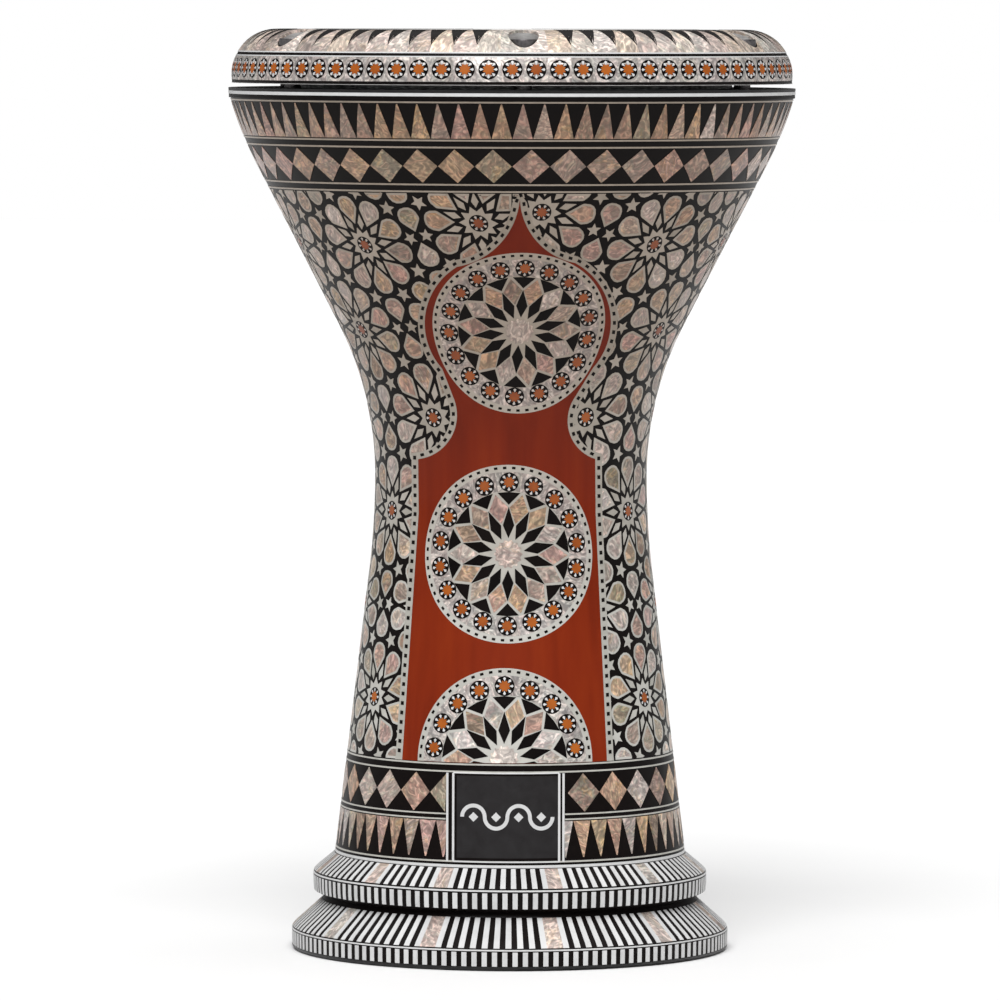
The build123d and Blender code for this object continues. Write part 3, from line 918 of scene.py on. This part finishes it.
def arch_outline():
    """The red panel's pointed arch as (across, height) points seen from the front."""
    points = []
    for arc in (((3.7, 367.0), (-4.5, 347.0), (-26.0, 334.5)),
                ((-26.0, 334.5), (-41.2, 310.0), (-33.0, 285.0)),
                ((-28.0, 272.0), (-29.6, 250.4), (-44.6, 240.7))):
        points += arc_through(*arc) + [arc[-1]]
    points += [(-44.3, 215.0), (-51.9, FIELD_BOTTOM), ARCH_CORNER, (40.6, 215.0)]
    for arc in (((40.3, 241.2), (29.9, 249.6), (29.5, 270.0)),
                ((39.0, 285.5), (47.2, 310.7), (30.0, 336.5)),
                ((30.0, 336.5), (10.8, 348.1), (3.7, 367.0))):
        points += arc_through(*arc) + [arc[-1]]
    following = points[1:] + points[:1]
    apart = [here for here, there in zip(points, following) if dist(here, there) > 0.3]
    outline = divided(apart, 2.0)
    return outline if area(outline) > 0 else outline[::-1]


def grown(outline, amount):
    """The outline moved outwards, without the points that its inner corners crowd together."""
    moved = inset(outline, -amount)
    distance = np.linalg.norm(moved[:, None] - outline[None], axis=2).min(axis=1)
    moved = moved[distance > amount * 0.93]
    moved[:, 1] = np.clip(moved[:, 1], FIELD_BOTTOM, FIELD_TOP)
    return moved


def spaced(points, pitch):
    """(point, direction) at equal steps along an open line."""
    points = np.asarray(points, float)
    lengths = np.concatenate([[0], np.cumsum(np.linalg.norm(np.diff(points, axis=0), axis=1))])
    count = int(lengths[-1] / pitch)
    for place in np.linspace(pitch / 2, lengths[-1] - pitch / 2, count):
        spot = np.array([np.interp(place, lengths, points[:, axis]) for axis in (0, 1)])
        ahead = np.array([np.interp(place + 0.5, lengths, points[:, axis]) for axis in (0, 1)])
        yield spot, atan2(*(ahead - spot)[::-1])


def arch():
    outline = arch_outline()
    border_width = 3.3
    border = Mosaic("arch_border_strip", barrel)
    border.plate(grown(outline, border_width), "cream", BORDER)
    line = grown(outline, border_width / 2 + 0.1)
    start = int(np.argmax(np.linalg.norm(line - ARCH_CORNER, axis=1) < 6))
    line = np.roll(line, -start, axis=0)
    line = line[line[:, 1] > FIELD_BOTTOM + 0.5]
    for spot, direction in spaced(line, DOT_PITCH):
        dot = turned(box(-0.9, 0.9, -0.7, 0.7), direction, spot)
        border.tile(barrel.from_front(dot), "black", BORDER_DOT)
    border.finish("arch_border", "dotted_border")

    panel = Mosaic("arch_red_panel", barrel)
    panel.plate(outline, "red", PANEL)
    panel.finish("arch_panel", "red_panel")
    return outline


# ---- medallions
def medallion(node, turn, height, radius, first, bottom=None):
    """A round medallion: a fourteen-fold star, a ring of rosettes and a dotted rim."""
    sheet = Sheet(barrel, turn)
    middle = barrel.at_height(height)
    mosaic = Mosaic(f"{node}_mosaic", barrel)
    if bottom is not None:
        mosaic.clip(1, barrel.at_height(bottom) + 0.15, True)
    drawn_radius = 43.0
    scale = radius / drawn_radius

    def put(outline, angle, paint, level):
        spots = turned(np.asarray(outline, float) * scale, angle, (0, middle))
        mosaic.tile(sheet.lay(spots), paint, level)

    # The cream disc that everything lies on, with its dotted rim
    put(circle(drawn_radius, 96), 0.0, "cream", DISC)
    dots = 60
    for place in range(dots):
        put(box(40.9, 42.1, -0.85, 0.85), first + FULL_TURN * (place + 0.5) / dots, "black", DISC_DOT)
    # The pearl ring with its rosettes
    rosettes = 18
    pitch = FULL_TURN / rosettes
    for place in range(rosettes):
        start = first + (place - 0.5) * pitch
        outline = [polar(39.6, start + pitch * part / 4) for part in range(5)]
        outline += [polar(30.3, start + pitch * part / 4) for part in reversed(range(5))]
        put(outline, 0.0, "pale_pearl", DISC_RING)
        angle = first + place * pitch
        centre = turned([polar(34.6 * scale, angle)], 0, (0, middle))[0]
        rosette(mosaic, sheet, centre, angle, 4.7 * scale, DISC_ROSETTE)
    # The star
    points = 14
    pitch = FULL_TURN / points
    put(circle(30.0, 56), 0.0, "cream", DISC_GROUND)
    for place in range(points):
        angle = first + place * pitch
        put([(23.7, 0), (29.4, -5.5), (29.9, 0), (29.4, 5.5)], angle, "black", DISC_TILE)
        put(kite(7.6, 13.9, 2.75, 22.8), angle, "black", DISC_TILE)
        put(kite(14.9, 22.0, 4.6, 29.2), angle + pitch / 2, "pearl", DISC_TILE)
    put(star(points, 7.0, 5.9, first + pitch / 2), 0.0, "bright_pearl", DISC_CENTRE)
    mosaic.finish(node, "pearl_inlay")


def medallions():
    medallion("medallion_upper", radians(2.6), 303.7, 42.5, radians(87))
    medallion("medallion_middle", radians(-1.1), 196.3, 42.8, radians(89.5))
    medallion("medallion_lower", radians(-2.2), 98.4, 44.0, radians(90), FIELD_BOTTOM)


# ---- the star field
DECAGON = 27.88
DECAGON_CORNER = DECAGON / cos(pi / 10)
COLUMN_STEP = DECAGON * 2 * cos(radians(54))
ROW_STEP = DECAGON * 2 * sin(radians(54))
FIELD_MIDDLE = 259.4
PETAL_RIM = 1.1
PETAL = teardrop(11.4, 20.3, 3.5, 6.2, 5.55)
BOW_PETAL = teardrop(3.0, 10.2, 3.5, 6.0, 5.5)
SEAM = radians(120)
SEAM_GAP = radians(0.15)


def star_field_ground(bottom, top):
    """The black ground, with a dotted ribbon over each seam between the sheets of stars."""
    ground = Mosaic("star_field_ground", barrel)
    ground.hoop(bottom, top, GROUND, "black")
    for seam in (-SEAM, SEAM):
        line = [(seam, along) for along in np.linspace(bottom + 0.2, top - 0.2, 96)]
        ground.ribbon(line, 3.3, "cream", BORDER)
        for along in np.arange(bottom + 2.5, top - 1.5, DOT_PITCH):
            half = 0.6 / float(barrel.radius(along))
            ground.tile(box(seam - half, seam + half, along - 0.95, along + 0.95), "black", BORDER_DOT)
    ground.finish("star_field", "pearl_inlay")


def star_field(arch_line):
    """Ten-fold rosettes in rhombic rows, with bow-ties between them, on three sheets."""
    bottom, top = map(barrel.at_height, ROWS["star_field"])
    star_field_ground(bottom, top)
    core = inset(arch_line, 1.5)

    def hidden(spots):
        """Whether a tile lies wholly under the red panel, which is at the front."""
        if np.cos(spots[:, 0]).min() < 0.3:
            return False
        across = barrel.radius(spots[:, 1]) * np.sin(spots[:, 0])
        return inside(np.column_stack([across, barrel.height(spots[:, 1])]), core).all()

    for side, middle, curl, first, last in (("left", radians(-59.9), 0.7, -SEAM, 0.0),
                                            ("right", radians(58.3), 1.0, 0.0, SEAM),
                                            ("back", pi, 1.0, SEAM, FULL_TURN - SEAM)):
        sheet = Sheet(barrel, middle, curl)
        petals = Mosaic(f"star_petals_{side}", barrel)
        fillings = Mosaic(f"star_fillings_{side}", barrel)
        for mosaic in (petals, fillings):
            mosaic.clip(1, bottom + 0.3, True)
            mosaic.clip(1, top - 0.3, False)
            mosaic.clip(0, first + SEAM_GAP, True)
            mosaic.clip(0, last - SEAM_GAP, False)

        def put(mosaic, outline, angle, centre, paint, rim=0.0):
            spots = sheet.lay(turned(divided(outline), angle, centre))
            if not hidden(spots):
                mosaic.tile(spots, paint, STAR_TILE, rim)

        corners_done = set()
        for column in range(-5, 6):
            for level in range(-5, 5):
                if (column + level) % 2:
                    continue
                centre = np.array([column * COLUMN_STEP, FIELD_MIDDLE + level * ROW_STEP])
                for part in range(10):
                    angle = pi / 2 + part * pi / 5
                    between = angle + pi / 10
                    put(petals, PETAL, angle, centre, "pearl", PETAL_RIM)
                    put(fillings, kite(8.5, 11.8, 1.8, 17.0), between, centre, "cream")
                    # A small star on each corner of the decagon, shared with its neighbours
                    waist = abs(sin(between)) < 0.1
                    corner = centre + polar(DECAGON_CORNER - 1.0 if waist else DECAGON_CORNER, between)
                    key = (round(corner[0], 1), round(corner[1], 1))
                    if key not in corners_done:
                        corners_done.add(key)
                        size = 3.7 if waist else 4.2
                        put(fillings, star(5, size, size * 0.46), between + pi, corner, "cream")
                put(fillings, star(10, 9.4, 6.4), pi / 2, centre, "cream")
                spots = sheet.lay([centre])
                turn, along = spots[0]
                if first < turn < last and bottom < along < top and not hidden(spots):
                    rosette(fillings, sheet, centre, pi / 2, 4.6, STAR_TILE + 0.05)
                for direction in (pi / 2, -pi / 2):
                    put(petals, BOW_PETAL, direction, centre + np.array([0, ROW_STEP]), "pearl", PETAL_RIM)
        petals.finish(slot="pearl_inlay")
        fillings.finish(slot="stringing")


# ---- the name panel's frame
def name_frame():
    """Two upright white lines on each side of the panel, and one above and below it."""
    mosaic = Mosaic("name_panel_frame_strips", barrel)
    whole = box(FRAME_LEFT, FRAME_RIGHT, FRAME_BOTTOM, FRAME_TOP)
    mosaic.plate(divided(whole, 2.5), "black", -0.15, FLOOR)
    inner_left, inner_right = FRAME_LEFT + 3.5, PANEL_RIGHT + 0.6
    for across in (FRAME_LEFT + 0.65, inner_left, inner_right, FRAME_RIGHT - 0.65):
        line = [(across, height) for height in np.linspace(FRAME_BOTTOM + 0.4, FRAME_TOP - 0.4, 16)]
        mosaic.ribbon(barrel.from_front(line), 1.1, "white", 0.0)
    for height in (FRAME_TOP - 0.2, FRAME_BOTTOM + 0.4):
        line = [(across, height) for across in np.linspace(inner_left, inner_right, 20)]
        mosaic.ribbon(barrel.from_front(line), 0.7, "white", 0.02)
    mosaic.finish("name_panel_frame", "stringing")


# ---- CAD pieces that stay
def dress_cad_pieces():
    finishes = {"shell": "shell", "tension_ring": "ring", "head_hoop": "hoop", "head_film": "film",
                "bolt_washers": "washer", "ring_shoulder_inlay": "shoulder_pearl", "name_panel": "plaque",
                "name_panel_ornament": "white"}
    finishes.update({f"tuning_bolt_{number}": "screw" for number in range(1, BOLT_COUNT + 1)})
    for node, paint in finishes.items():
        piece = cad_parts[node]
        if not piece.material_slots:
            piece.data.materials.append(None)
        for slot in piece.material_slots:
            slot.material = PAINTS[paint]


# ---- studio
def studio():
    """A white floor under a broad bright ceiling, with one large soft lamp high in front."""
    scene = bpy.context.scene
    reach = 14.0
    floor_mesh = bpy.data.meshes.new("floor")
    floor_mesh.from_pydata([(x, y, 0) for x, y in box(-reach, reach, -reach, reach)], [], [(0, 1, 2, 3)])
    paint = Paint("floor", Roughness=0.7, Specular_IOR_Level=0.1)
    mottle = paint.noise(paint.place(), 6.0, 2.0)
    paint.feed("Base Color", paint.ramp(mottle, [(0.3, (0.79, 0.79, 0.79)), (0.7, (0.81, 0.81, 0.81))]))
    floor_mesh.materials.append(paint.material)
    floor = bpy.data.objects.new("floor", floor_mesh)
    scene.collection.objects.link(floor)

    # The sky is white to the camera and lights the drum from above
    world = bpy.data.worlds.new("studio")
    world.use_nodes = True
    sky = Tree(world.node_tree)
    height = sky.parts(sky.node("ShaderNodeTexCoord").outputs["Generated"])["Z"]
    limits = {"Value": height, "From Min": 0.5, "From Max": 0.8, "To Min": 0.14, "To Max": 1.3}
    ceiling = sky.node("ShaderNodeMapRange", limits).outputs["Result"]
    seen = sky.node("ShaderNodeLightPath").outputs["Is Camera Ray"]
    background = sky.nodes["Background"]
    background.inputs["Color"].default_value = (1, 1, 1, 1)
    sky.link(sky.math("MAXIMUM", seen, ceiling), background.inputs["Strength"])
    scene.world = world
    scene.view_settings.view_transform = "Standard"

    light = bpy.data.lights.new("lamp", "SUN")
    light.energy = 2.5
    light.angle = radians(40)
    lamp = bpy.data.objects.new("lamp", light)
    lamp.rotation_euler = (radians(40), 0, radians(-6))
    scene.collection.objects.link(lamp)


def camera():
    """Level with the head, looking down a few degrees from far away through a long lens."""
    data = bpy.data.cameras.new("camera")
    data.lens = 298.8
    data.sensor_width = 36
    data.clip_end = 50
    view = bpy.data.objects.new("camera", data)
    view.location = (-0.0059, -4.03, 0.4552)
    view.rotation_euler = (radians(90 - 3.365), radians(-0.15), 0)
    bpy.context.scene.collection.objects.link(view)
    bpy.context.scene.camera = view


camera()
studio()
dress_cad_pieces()
barrel_rows()
foot_rows()
ring_rows()
star_field(arch())
medallions()
name_frame()
